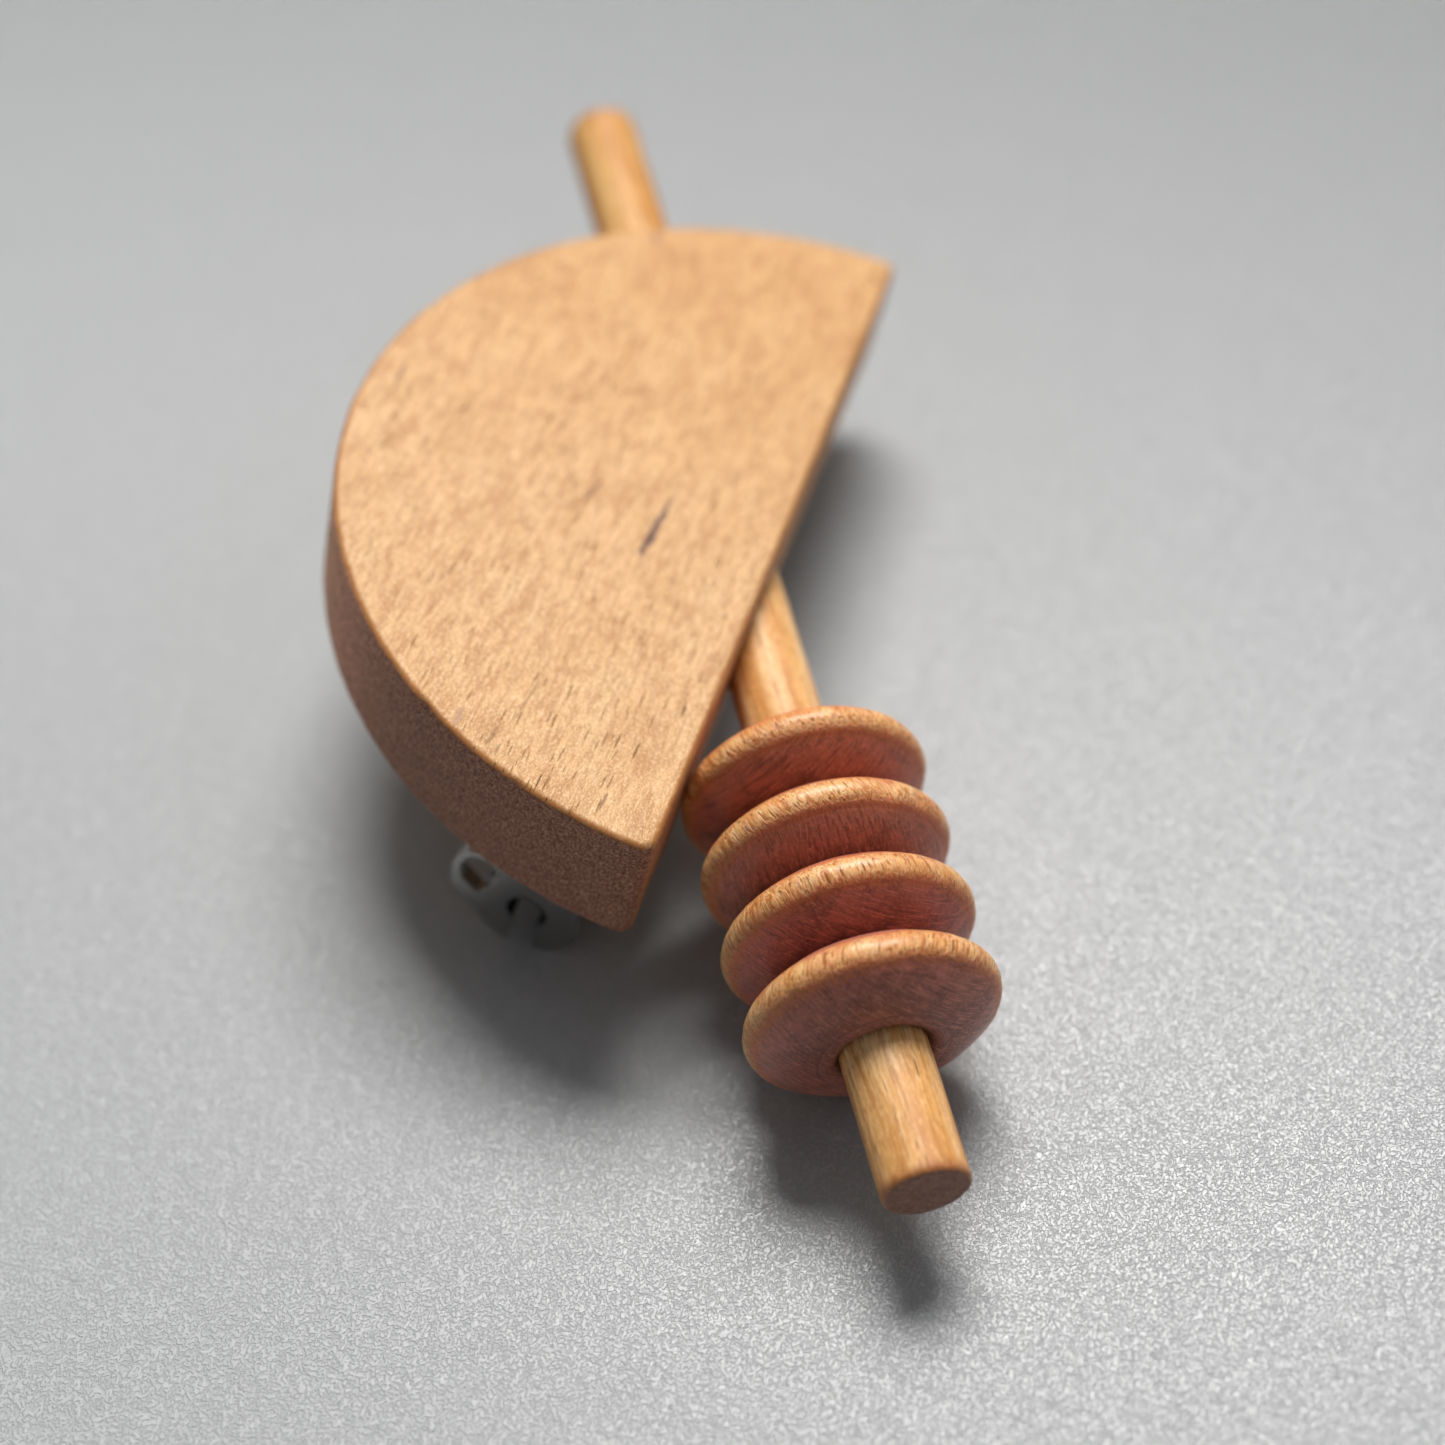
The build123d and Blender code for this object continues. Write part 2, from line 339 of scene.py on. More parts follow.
    col = streak(-3.55, 5.98, 4.9, 0.62, -0.055, (0.130, 0.055, 0.040), 0.96, col)
    col = streak(-1.2, 5.75, 2.6, 0.20, -0.055, (0.42, 0.23, 0.12), 0.5, col)
    col = streak(-2.75, 9.57, 2.0, 0.36, -0.19, (0.26, 0.120, 0.055), 0.75, col)
    col = streak(0.55, 21.0, 1.8, 0.30, 0.0, (0.24, 0.11, 0.06), 0.75, col)
    col = streak(17.6, 12.75, 1.9, 0.60, 0.35, (0.36, 0.17, 0.12), 0.6, col)
    col = streak(-19.1, 10.40, 1.3, 0.45, 0.0, (0.34, 0.17, 0.115), 0.5, col)
    col = streak(-16.8, 7.95, 3.0, 0.13, -0.08, (0.26, 0.12, 0.045), 0.55, col)
    col = streak(-19.5, 8.70, 1.5, 0.15, -0.10, (0.20, 0.09, 0.035), 0.60, col)
    col = streak(-20.1, 8.18, 0.8, 0.16, 0.0, (0.20, 0.09, 0.035), 0.6, col)
    col = streak(-20.8, 2.92, 1.1, 0.16, 0.0, (0.2, 0.09, 0.035), 0.7, col)
    col = streak(15.2, 4.05, 1.0, 0.35, 0.0, (0.40, 0.2, 0.09), 0.5, col)

    # end grain on the rim near the corners: darker, redder, finely speckled
    speck = g.noise(g.stretch(p, (7.4, 7.4, 7.4)), 1.0, 3.0, 0.75)
    spec2 = g.noise(g.stretch(p, (3.2, 3.2, 3.2), (5, 5, 5)), 1.0, 3.0, 0.6)
    end_col = g.ramp(speck, [(0.36, (0.150, 0.056, 0.034)), (0.5, (0.355, 0.158, 0.098)), (0.64, (0.68, 0.36, 0.235))])
    # painted light: the end grain is painted darker at the near corner and lighter further round the arc, where more
    # light falls on the rim
    end_col = g.vmath("SCALE", end_col, scale=g.step(x, -19.5, -13.0, 0.97, 1.76))
    end_col = g.mix(g.step(spec2, 0.35, 0.7, 0.25, 0.0), end_col, (0.21, 0.095, 0.06))
    side = g.math("SUBTRACT", 1.0, g.step(g.math("ABSOLUTE", nz), 0.35, 0.8), clamp=True)
    along = g.math("ABSOLUTE", nx)
    end_amt = g.math("MULTIPLY", side, g.step(along, 0.10, 0.75, 0.35, 1.0))
    col = g.mix(end_amt, col, end_col)
    # rays and growth lines that run round the rim
    ring = g.noise(g.stretch(p, (0.25, 0.55, 1.9), (2, 2, 2)), 1.0, 2.0, 0.5)
    col = g.mix(g.math("MULTIPLY", side, g.step(ring, 0.5, 0.68, 0.0, 0.28)), col, (0.25, 0.115, 0.07))

    # thin orange-brown line along the rounded edges: painted glow of light scattering through the wood at the edges
    rad = g.math("SQRT", g.math("ADD", g.math("MULTIPLY", x, x), g.math("MULTIPLY", y, y)))
    d_out = g.math("MINIMUM", g.math("SUBTRACT", DISC_R, rad), y)
    d_top = g.math("MINIMUM", g.math("MULTIPLY", z, -1.0), g.math("ADD", z, DISC_T))
    d_edge = g.math("MAXIMUM", d_out, d_top)
    ed_n = g.noise(g.stretch(p, (2.6, 2.6, 2.6)), 1.0, 3.0, 0.6)
    d_edge = g.math("ADD", d_edge, g.math("MULTIPLY", g.math("SUBTRACT", ed_n, 0.5), 0.22))
    edge = g.math("SUBTRACT", 1.0, g.step(d_edge, 0.10, 0.34), clamp=True)
    col = g.mix(g.math("MULTIPLY", edge, 0.80), col, (0.43, 0.155, 0.035))
    # painted shade: dark line in the gap where the stick enters
    q = g.vmath("SUBTRACT", p, (CROSS_X, 0.0, STICK_Z))
    t = g.vmath("DOT_PRODUCT", q, tuple(U))
    foot = g.vmath("SCALE", tuple(U), scale=t)
    off = g.vmath("LENGTH", g.vmath("SUBTRACT", q, foot))
    stick_gap_shade = g.math("SUBTRACT", 1.0, g.step(off, 2.05, 2.42), clamp=True)
    col = g.mix(g.math("MULTIPLY", stick_gap_shade, 0.75), col, (0.10, 0.045, 0.025))

    rough = g.math("ADD", g.step(fine, 0.3, 0.7, 0.50, 0.62), g.math("MULTIPLY", side, 0.16))
    rough = g.math("SUBTRACT", rough, g.math("MULTIPLY", edge, 0.12))
    h1 = g.math("ADD", g.math("MULTIPLY", fibre, 0.5), g.math("MULTIPLY", fine, 0.6))
    h1 = g.math("SUBTRACT", h1, g.math("MULTIPLY", g.math("ADD", pf, pd, clamp=True), 1.6))
    h1 = g.math("MULTIPLY", h1, g.math("SUBTRACT", 1.0, g.math("MULTIPLY", side, 0.7)))
    h1 = g.math("ADD", h1, g.math("MULTIPLY", g.math("MULTIPLY", speck, side), 1.4))
    normal = g.bump(h1, 0.030)
    big = g.noise(g.stretch(p, (0.5, 0.9, 0.9)), 1.0, 2.0, 0.5)
    normal = g.bump(big, 0.05, 1.0, normal)
    return g.finish(col, rough, normal, Specular_IOR_Level=0.36)


# ---------------------------------------------------------------------------
# Wood of the stick: grain along Z
# ---------------------------------------------------------------------------
def stick_wood():
    g = Graph("stick_long_grain_wood")
    p = g.mm()
    x, y, z = g.xyz(p)
    n = g.normal_local()
    nx, ny, nz = g.xyz(n)
    wig = g.math("MULTIPLY", g.math("SUBTRACT", g.noise(g.stretch(p, (0.25, 0.25, 0.09)), 1.0, 2.0), 0.5), 0.9)
    pg = g.vec(z, g.math("ADD", x, wig), g.math("ADD", y, wig))
    band = g.noise(g.stretch(pg, (0.06, 1.15, 1.15)), 1.0, 3.0, 0.55, 0.2)
    line = g.noise(g.stretch(pg, (0.16, 4.2, 4.2), (4, 1, 1)), 1.0, 3.0, 0.6, 0.3)
    fine = g.noise(g.stretch(pg, (1.3, 13.0, 13.0), (1, 2, 5)), 1.0, 3.0, 0.6)
    col = g.ramp(band, [(0.32, (0.62, 0.250, 0.056)), (0.48, (0.84, 0.445, 0.150)), (0.64, (0.98, 0.67, 0.345))])
    col = g.mix(g.step(line, 0.46, 0.70, 0.0, 0.70), col, (0.47, 0.18, 0.042))
    col = g.mix(g.step(fine, 0.50, 0.70, 0.0, 0.50), col, (0.42, 0.17, 0.05))
    mottle = g.noise(g.stretch(pg, (2.2, 6.0, 6.0), (8, 3, 1)), 1.0, 3.0, 0.65)
    col = g.mix(g.step(mottle, 0.50, 0.66, 0.0, 0.42), col, (0.50, 0.20, 0.050))
    col = g.mix(g.step(mottle, 0.46, 0.34, 0.0, 0.35), col, (0.97, 0.70, 0.38))
    col = g.mix(g.step(z, 18.0, 26.0, 0.0, 1.0), col, g.vmath("MULTIPLY", col, (0.87, 0.81, 0.62)))
    pf = pores(g, pg, 1.8, 0.20, 0.55, 0.24, 2.0)
    pd = pores(g, pg, 3.6, 0.30, 0.50, 0.17, 9.0)
    col = g.mix(g.math("MULTIPLY", pf, 0.5), col, (0.26, 0.11, 0.035))
    col = g.mix(g.math("MULTIPLY", pd, 0.75), col, (0.16, 0.06, 0.022))
    # cut ends
    end = g.step(g.math("ABSOLUTE", nz), 0.55, 0.92)
    speck = g.noise(g.stretch(p, (7.0, 7.0, 7.0)), 1.0, 3.0, 0.7)
    rings = g.noise(g.stretch(p, (2.4, 0.8, 1.0), (1, 7, 3)), 1.0, 3.0, 0.55, 0.4)
    end_col = g.ramp(speck, [(0.3, (0.15, 0.070, 0.052)), (0.5, (0.27, 0.140, 0.105)), (0.7, (0.46, 0.28, 0.20))])
    end_col = g.mix(g.step(rings, 0.45, 0.65, 0.0, 0.35), end_col, (0.15, 0.07, 0.05))
    col = g.mix(end, col, end_col)
    # oil darkens the last bit next to the cut, unevenly
    d_end = g.math("MINIMUM", g.math("SUBTRACT", z, STICK_NEAR), g.math("SUBTRACT", STICK_FAR, z))
    ragged = g.math("MULTIPLY", g.math("SUBTRACT", line, 0.5), 1.6)
    soak = g.math("SUBTRACT", 1.0, g.step(g.math("ADD", d_end, ragged), 0.12, 0.75), clamp=True)
    col = g.mix(g.math("MULTIPLY", soak, g.math("SUBTRACT", 0.80, g.math("MULTIPLY", end, 0.7))), col, (0.34, 0.100, 0.030))
    rough = g.step(fine, 0.3, 0.7, 0.42, 0.56)
    rough = g.math("ADD", rough, g.math("MULTIPLY", end, 0.2))
    h = g.math("SUBTRACT", g.math("ADD", g.math("MULTIPLY", line, 0.8), g.math("MULTIPLY", fine, 0.5)), g.math("MULTIPLY", g.math("ADD", pf, pd, clamp=True), 1.4))
    h = g.math("ADD", h, g.math("MULTIPLY", g.math("MULTIPLY", speck, end), 1.6))
    normal = g.bump(h, 0.022)
    return g.finish(col, rough, normal, Specular_IOR_Level=0.42)


# ---------------------------------------------------------------------------
# Wood of the beads: turned with the grain along the bore (Z), so the flanks
# show end grain and the rim shows short ends of the vessels
# ---------------------------------------------------------------------------
def bead_wood(name, seed, tone, rays):
    g = Graph(name)
    p = g.mm()
    x, y, z = g.xyz(p)
    n = g.normal_local()
    nx, ny, nz = g.xyz(n)
    flank = g.step(g.math("ABSOLUTE", nz), 0.40, 0.86)
    rad = g.math("SQRT", g.math("ADD", g.math("MULTIPLY", x, x), g.math("MULTIPLY", y, y)))
    ps = g.stretch(p, (1.0, 1.0, 1.0), (seed * 3.1, seed * 1.3, seed * 0.7))
    # rim: vessels run across it. The rim is painted much lighter than the flank: partly the slightly paler side grain,
    # mostly painted light where the crest faces the lamp
    lean = g.math("MULTIPLY", z, 0.35)
    rx = g.vec(z, g.math("ADD", x, lean), y)
    rim_n = g.noise(g.stretch(rx, (0.7, 1.1, 1.1), (seed, 0, 0)), 1.0, 3.0, 0.55)
    rim_f = g.noise(g.stretch(rx, (0.9, 7.5, 7.5), (seed, 3, 0)), 1.0, 3.0, 0.6)
    rib = g.noise(g.stretch(rx, (0.75, 4.2, 4.2), (seed, 8, 0)), 1.0, 3.0, 0.6, 0.5)
    rim = g.ramp(rim_n, [(0.34, (0.76, 0.345, 0.100)), (0.5, (0.92, 0.52, 0.195)), (0.68, (1.0, 0.68, 0.32))])
    rim = g.mix(g.step(rib, 0.49, 0.58, 0.0, 0.80), rim, (0.52, 0.155, 0.030))
    rim = g.mix(g.step(rim_f, 0.50, 0.62, 0.0, 0.50), rim, (0.50, 0.160, 0.032))
    rim = g.mix(g.step(rim_f, 0.47, 0.36, 0.0, 0.75), rim, (1.0, 0.70, 0.36))
    tick = pores(g, rx, 2.4, 0.17, 0.92, 0.26, seed + 2.0)
    tick2 = pores(g, rx, 3.0, 0.30, 0.40, 0.16, seed + 6.0)
    tick = g.math("MAXIMUM", g.math("MULTIPLY", tick, 0.8), tick2)
    rim = g.mix(g.math("MULTIPLY", tick, 0.72), rim, (0.30, 0.080, 0.018))
    # flank: end grain, reddish brown, faint straight lines where the rays run
    speck = g.noise(g.stretch(ps, (6.5, 6.5, 6.5)), 1.0, 3.0, 0.65)
    ca, sa = math.cos(rays), math.sin(rays)
    a = g.math("ADD", g.math("MULTIPLY", x, ca), g.math("MULTIPLY", y, sa))
    b = g.math("SUBTRACT", g.math("MULTIPLY", y, ca), g.math("MULTIPLY", x, sa))
    ray = g.noise(g.stretch(g.vec(a, b, z), (0.35, 5.0, 2.0), (seed, seed, 0)), 1.0, 3.0, 0.6)
    sheen_streaks = g.noise(g.stretch(g.vec(a, b, z), (0.8, 9.0, 4.0), (1, seed, 2)), 1.0, 3.0, 0.65)
    growth = g.noise(g.stretch(g.vec(a, b, z), (1.1, 0.22, 0.5), (seed * 2, 0, 0)), 1.0, 3.0, 0.5, 0.4)
    base = g.ramp(growth, [(0.32, tuple(c * 0.68 for c in tone)), (0.5, tone), (0.70, tuple(min(1, c * 1.30) for c in tone))])
    # painted shade: the flank is darker towards the bore, deep between the beads, and lighter towards the rim
    base = g.vmath("SCALE", base, scale=g.step(rad, 3.0, 5.4, 0.84, 1.14))
    fl = g.mix(g.step(ray, 0.47, 0.64, 0.0, 0.62), base, tuple(c * 0.40 for c in tone))
    fl = g.mix(g.step(speck, 0.51, 0.66, 0.0, 0.50), fl, tuple(min(1, c * 1.75 + 0.03) for c in tone))
    # painted sheen: lighter streaks along the rays
    fl = g.mix(g.step(sheen_streaks, 0.51, 0.64, 0.0, 0.52), fl, tuple(min(1, c * 1.9 + 0.04) for c in tone))
    # fine circles left by the turning tool
    lathe = g.noise(g.vec(g.math("MULTIPLY", rad, 7.0), seed, g.math("MULTIPLY", z, 0.4)), 1.0, 2.0, 0.6)
    fl = g.mix(g.step(lathe, 0.55, 0.72, 0.0, 0.22), fl, tuple(min(1, c * 1.4) for c in tone))
    edge_w = g.math("ADD", rad, g.math("MULTIPLY", g.math("SUBTRACT", rim_f, 0.5), 1.1))
    edge_w = g.math("ADD", edge_w, g.math("MULTIPLY", g.math("SUBTRACT", rib, 0.5), 0.7))
    amount = g.math("SUBTRACT", 1.0, g.step(edge_w, 5.50, 5.92), clamp=True)
    # painted glow: orange ring on the flank next to the rim, standing in for light scattered through the wood near the
    # lit crest
    painted_rim_glow = g.step(edge_w, 5.1, 5.65)
    fl = g.mix(g.math("MULTIPLY", painted_rim_glow, 0.66), fl, (0.72, 0.195, 0.048))
    col = g.mix(amount, rim, fl)
    # painted shade in the bore mouth and in the groove outside the raised ring
    bore_shade = g.math("SUBTRACT", 1.0, g.step(rad, 2.10, 2.42), clamp=True)
    col = g.mix(g.math("MULTIPLY", bore_shade, 0.75), col, (0.07, 0.028, 0.016))
    groove_shade = g.math("SUBTRACT", 1.0, g.step(g.math("ABSOLUTE", g.math("SUBTRACT", rad, 3.02)), 0.02, 0.12), clamp=True)
    col = g.mix(g.math("MULTIPLY", groove_shade, 0.45), col, tuple(c * 0.45 for c in tone))
    rough = g.math("ADD", g.step(speck, 0.3, 0.7, 0.34, 0.46), g.math("MULTIPLY", amount, 0.08))
    h = g.math("ADD", g.math("MULTIPLY", rim_f, 0.7), g.math("MULTIPLY", speck, 0.5))
    h = g.math("SUBTRACT", h, g.math("MULTIPLY", g.math("MULTIPLY", rib, g.math("SUBTRACT", 1.0, amount)), 1.2))
    h = g.math("SUBTRACT", h, g.math("MULTIPLY", g.math("MULTIPLY", tick, g.math("SUBTRACT", 1.0, amount)), 1.6))
    h = g.math("ADD", h, g.math("MULTIPLY", g.math("MULTIPLY", lathe, amount), 0.45))
    normal = g.bump(h, 0.050)
    return g.finish(col, rough, normal, Specular_IOR_Level=0.45, Coat_Weight=0.25, Coat_Roughness=0.24, Subsurface_Weight=0.38, Subsurface_Scale=0.0006, Subsurface_Radius=(1.0, 0.26, 0.08))


# ---------------------------------------------------------------------------
# Steel
# ---------------------------------------------------------------------------
def steel(name, tint, rough_lo, rough_hi, along=(40.0, 2.0, 2.0), bore=None):
    g = Graph(name)
    p = g.mm()
    brush = g.noise(g.stretch(p, along), 0.25, 3.0, 0.6)
    cloud = g.noise(p, 0.5, 3.0, 0.55)
    dust = g.noise(p, 3.0, 4.0, 0.7)
    rough = g.step(cloud, 0.3, 0.7, rough_lo, rough_hi)
    rough = g.math("ADD", rough, g.step(dust, 0.58, 0.75, 0.0, 0.18))
    col = g.mix(g.step(dust, 0.60, 0.78, 0.0, 0.35), tint, tuple(c * 0.55 for c in tint))
    col = g.mix(g.step(brush, 0.3, 0.7, 0.0, 0.12), col, tuple(c * 0.7 for c in tint))
    if bore:
        # painted shade inside the turning lock's bore
        q = g.vmath("SUBTRACT", p, bore[0])
        foot = g.vmath("SCALE", bore[1], scale=g.vmath("DOT_PRODUCT", q, bore[1]))
        off = g.vmath("LENGTH", g.vmath("SUBTRACT", q, foot))
        col = g.mix(g.step(off, bore[2], bore[2] + 0.07), (0.035, 0.034, 0.033), col)
    h = g.math("ADD", g.math("MULTIPLY", brush, 0.6), g.math("MULTIPLY", cloud, 0.8))
    edge = g.node("ShaderNodeBevel", samples=6)
    edge.inputs["Radius"].default_value = 0.09 * MM
    normal = g.bump(h, 0.006, 1.0, edge.outputs[0])
    return g.finish(col, rough, normal, Metallic=1.0)


# ---------------------------------------------------------------------------
# Half disc
# ---------------------------------------------------------------------------
def outline(d):
    """Half disc outline inset by d, always the same number of points."""
    rc = CORNER_R
    xc = math.sqrt((DISC_R - rc) ** 2 - rc**2)
    pts = []
    if d < rc:
        xs, phi = xc, math.atan2(rc, xc)
    else:
        xs = math.sqrt(max((DISC_R - d) ** 2 - d**2, 1e-6))
        phi = math.atan2(d, xs)
    for t in np.linspace(-1, 1, 300, endpoint=False):
        pts.append((xs * t, d))
    if d < rc:
        for a in np.linspace(-math.pi / 2, phi, 12, endpoint=False):
            pts.append((xc + (rc - d) * math.cos(a), rc + (rc - d) * math.sin(a)))
    else:
        for _ in range(12):
            pts.append((xs, d))
        k = len(pts)
        e = min(0.004, xs * 0.01)
        for i in range(12):
            pts[k - 12 + i] = (xs - e * (11 - i) / 11 * 0.5, d + e * 0.02 * i)
    for a in np.linspace(phi, math.pi - phi, 440, endpoint=False):
        pts.append(((DISC_R - d) * math.cos(a), (DISC_R - d) * math.sin(a)))
    if d < rc:
        for a in np.linspace(math.pi - phi, 3 * math.pi / 2, 12, endpoint=False):
            pts.append((-xc + (rc - d) * math.cos(a), rc + (rc - d) * math.sin(a)))
    else:
        e = min(0.004, xs * 0.01)
        for i in range(12):
            pts.append((-xs + e * i / 11 * 0.5, d + e * 0.02 * (11 - i)))
    return np.array(pts)


def build_half_disc():
    stations = [(0.46, 0.0, 0)]
    for t in np.linspace(0, math.pi / 2, 9):
        stations.append((EDGE_R * (1 - math.sin(t)), -EDGE_R * (1 - math.cos(t)), 1))
    for z in np.linspace(-EDGE_R - 0.2, -DISC_T + EDGE_R + 0.2, 28):
        stations.append((0.0, z, 2))
    for t in np.linspace(0, math.pi / 2, 9):
        stations.append((EDGE_R * (1 - math.cos(t)), -DISC_T + EDGE_R * (1 - math.sin(t)), 1))
    stations.append((0.46, -DISC_T, 0))
    rings = []
    for d, z, _ in stations:
        o = outline(d)
        rings.append(np.column_stack([o, np.full(len(o), z)]))
    verts, faces = loft(rings)
    n = len(rings[0])
    # outward direction of each point, for hand-sanded unevenness
    weight = np.zeros(len(verts))
    nrm = np.zeros_like(verts)
    for k, (d, z, kind) in enumerate(stations):
        r = rings[k]
        tan = np.roll(r, -1, axis=0) - np.roll(r, 1, axis=0)
        tan /= np.linalg.norm(tan, axis=1)[:, None] + 1e-12
        out = np.column_stack([tan[:, 1], -tan[:, 0], np.zeros(n)])
        up = 1.0 if z > -DISC_T / 2 else -1.0
        if kind == 0:
            nn, w = np.tile([0, 0, up], (n, 1)), 0.0
        elif kind == 1:
            f = min(1.0, max(0.0, 1 - d / EDGE_R))
            lean = math.asin(f)
            nn = out * math.sin(lean) + np.array([0, 0, up]) * math.cos(lean)
            w = f
        else:
            nn, w = out, 0.8
        nrm[k * n : (k + 1) * n] = nn
        weight[k * n : (k + 1) * n] = w
    slow = fbm(verts, 0.45, 2, 1.0)
    quick = fbm(verts, 2.2, 3, 2.0)
    verts = verts + nrm * ((slow * 0.030 + quick * 0.016) * weight)[:, None]
    # small bruises on the front edge
    for cx, cy, r, depth in ((-19.0, 11.9, 0.5, 0.10), (-13.2, 18.1, 0.4, 0.07), (-22.0, 0.35, 0.35, 0.10), (-8.5, 0.0, 0.4, 0.05), (6.5, 21.5, 0.5, 0.06), (-21.4, 6.8, 0.35, 0.08), (12.0, 0.0, 0.45, 0.05)):
        dd = np.linalg.norm(verts - np.array([cx, cy, -0.1]), axis=1)
        verts -= nrm * (depth * np.exp(-((dd / r) ** 2)) * weight)[:, None]
    ob = mesh_object("half_disc_body", verts, faces, M_DISC, half_disc_wood())
    for poly in ob.data.polygons:
        if len(poly.vertices) > 4:
            poly.use_smooth = False
    return ob


# ---------------------------------------------------------------------------
# Stick
# ---------------------------------------------------------------------------
def build_stick():
    segs = 112
    ang = np.linspace(0, 2 * math.pi, segs, endpoint=False)
    e = 0.3
    prof = [(STICK_NEAR, r) for r in (0.25, 0.6, 1.0, 1.35, 1.6)]
    for t in np.linspace(0, math.pi / 2, 7):
        prof.append((STICK_NEAR + e - e * math.cos(t), STICK_R - e + e * math.sin(t)))
    for s in np.arange(STICK_NEAR + e + 0.3, STICK_FAR - e - 0.2, 0.3):
        prof.append((s, STICK_R))
    for t in np.linspace(0, math.pi / 2, 7):
        prof.append((STICK_FAR - e + e * math.sin(t), STICK_R - e + e * math.cos(t)))
    for r in (1.6, 1.35, 1.0, 0.6, 0.25):
        prof.append((STICK_FAR, r))
    rings = []
    for s, r in prof:
        rings.append(np.column_stack([r * np.cos(ang), r * np.sin(ang), np.full(segs, s)]))
    verts, faces = loft(rings)
    rad = np.linalg.norm(verts[:, :2], axis=1)
    out = np.column_stack([verts[:, 0] / rad, verts[:, 1] / rad, np.zeros(len(verts))])
    slow = fbm(verts * np.array([1, 1, 0.3]), 0.5, 2, 3.0)
    strand = fbm(verts * np.array([1, 1, 0.08]), 3.0, 2, 4.0)
    side = (rad > 1.9).astype(float)
    verts = verts + out * ((slow * 0.018 + strand * 0.010) * side)[:, None]
    # the cuts are a little uneven
    cut = fbm(verts, 1.3, 3, 5.0) * 0.035
    near = (verts[:, 2] < STICK_NEAR + 0.31).astype(float)
    far = (verts[:, 2] > STICK_FAR - 0.31).astype(float)
    verts[:, 2] += cut * (near + far) * 0.7
    return mesh_object("stick_body", verts, faces, M_STICK, stick_wood())


# ---------------------------------------------------------------------------
# Beads
# ---------------------------------------------------------------------------
def arc3(a, m, b, k):
    """k points on the circle through a, m, b, from a to b."""
    ax_, ay_, bx, by, cx, cy = *a, *m, *b
    d = 2 * (ax_ * (by - cy) + bx * (cy - ay_) + cx * (ay_ - by))
    ux = ((ax_**2 + ay_**2) * (by - cy) + (bx**2 + by**2) * (cy - ay_) + (cx**2 + cy**2) * (ay_ - by)) / d
    uy = ((ax_**2 + ay_**2) * (cx - bx) + (bx**2 + by**2) * (ax_ - cx) + (cx**2 + cy**2) * (bx - ax_)) / d
    r = math.hypot(ax_ - ux, ay_ - uy)
    a0, am, a1 = (math.atan2(q - uy, p - ux) for p, q in (a, m, b))
    two = 2 * math.pi
    if not ((am - a0) % two <= (a1 - a0) % two):
        span = -((a0 - a1) % two)
    else:
        span = (a1 - a0) % two
    return [(ux + r * math.cos(a0 + span * t), uy + r * math.sin(a0 + span * t)) for t in np.linspace(0, 1, k)]


def build_bead(i, turn, dents, tone, rays):
    bore = 2.06 if i < 3 else 2.005
    h, r = 2.05, 5.9
    half = []
    half += [(bore, 0.0), (bore, 0.8), (bore, h - 0.34), (bore + 0.03, h - 0.27)]
    half += [(2.20, h - 0.12), (2.36, h - 0.03), (2.46, h), (2.62, h + 0.0), (2.76, h - 0.01)]
    half += [(2.88, h - 0.045), (2.97, h - 0.085), (3.04, h - 0.095)]
    half += arc3((3.11, h - 0.12), (4.42, 1.48), (r - 0.50, 0.80), 20)[1:]
    half += arc3((r - 0.50, 0.80), (r, 0.0), (r - 0.50, -0.80), 25)[1:13]
    prof = half[:-1] + [(r, 0.0)] + [(a, -b) for a, b in reversed(half[:-1]) if b > 0]
    prof = [(r_, z_) for r_, z_ in prof]
    segs = 200
    ang = np.linspace(0, 2 * math.pi, segs, endpoint=False)
    rings = [np.column_stack([pr * np.cos(ang), pr * np.sin(ang), np.full(segs, pz)]) for pr, pz in prof]
    verts, faces = loft(rings, False, False)
    n = segs
    a, b = (len(rings) - 1) * n, 0
    for k in range(n):
        j = (k + 1) % n
        faces.append((a + k, a + j, b + j, b + k))
    faces = [tuple(reversed(f)) for f in faces]
    rad = np.linalg.norm(verts[:, :2], axis=1)
    out = np.column_stack([verts[:, 0] / rad, verts[:, 1] / rad, np.zeros(len(verts))])
    rimw = np.clip((rad - 5.0) / 0.6, 0, 1)
    slow = fbm(verts, 0.35, 2, 11.0 + i)
    quick = fbm(verts * np.array([1, 1, 0.35]), 3.0, 3, 21.0 + i)
    verts = verts + out * ((slow * 0.03 + quick * 0.022) * rimw)[:, None]
    face_w = np.clip((rad - 3.2) / 0.4, 0, 1) * (1 - rimw)
    verts[:, 2] += np.sign(verts[:, 2]) * fbm(verts, 0.8, 2, 31.0 + i) * 0.02 * face_w
    for deg, zz, size, depth in dents:
        c = np.array([r * math.cos(math.radians(deg)), r * math.sin(math.radians(deg)), zz])
        w = np.exp(-((np.linalg.norm((verts - c) * np.array([1, 1, 0.7]), axis=1) / size) ** 2))
        verts -= out * (depth * w)[:, None]
    place = M_STICK @ Matrix.Translation((0, 0, BEAD_S[i] * MM)) @ Matrix.Rotation(math.radians(turn), 4, "Z")
    mat = bead_wood(f"bead_{i + 1}_turned_wood", 3.0 + 4.7 * i, tone, rays)
    return mesh_object(f"bead_{i + 1}_body", verts, faces, place, mat)


disc = build_half_disc()
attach(disc, "brooch")
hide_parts("half_disc")

stick = build_stick()
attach(stick, "brooch")
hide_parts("stick")

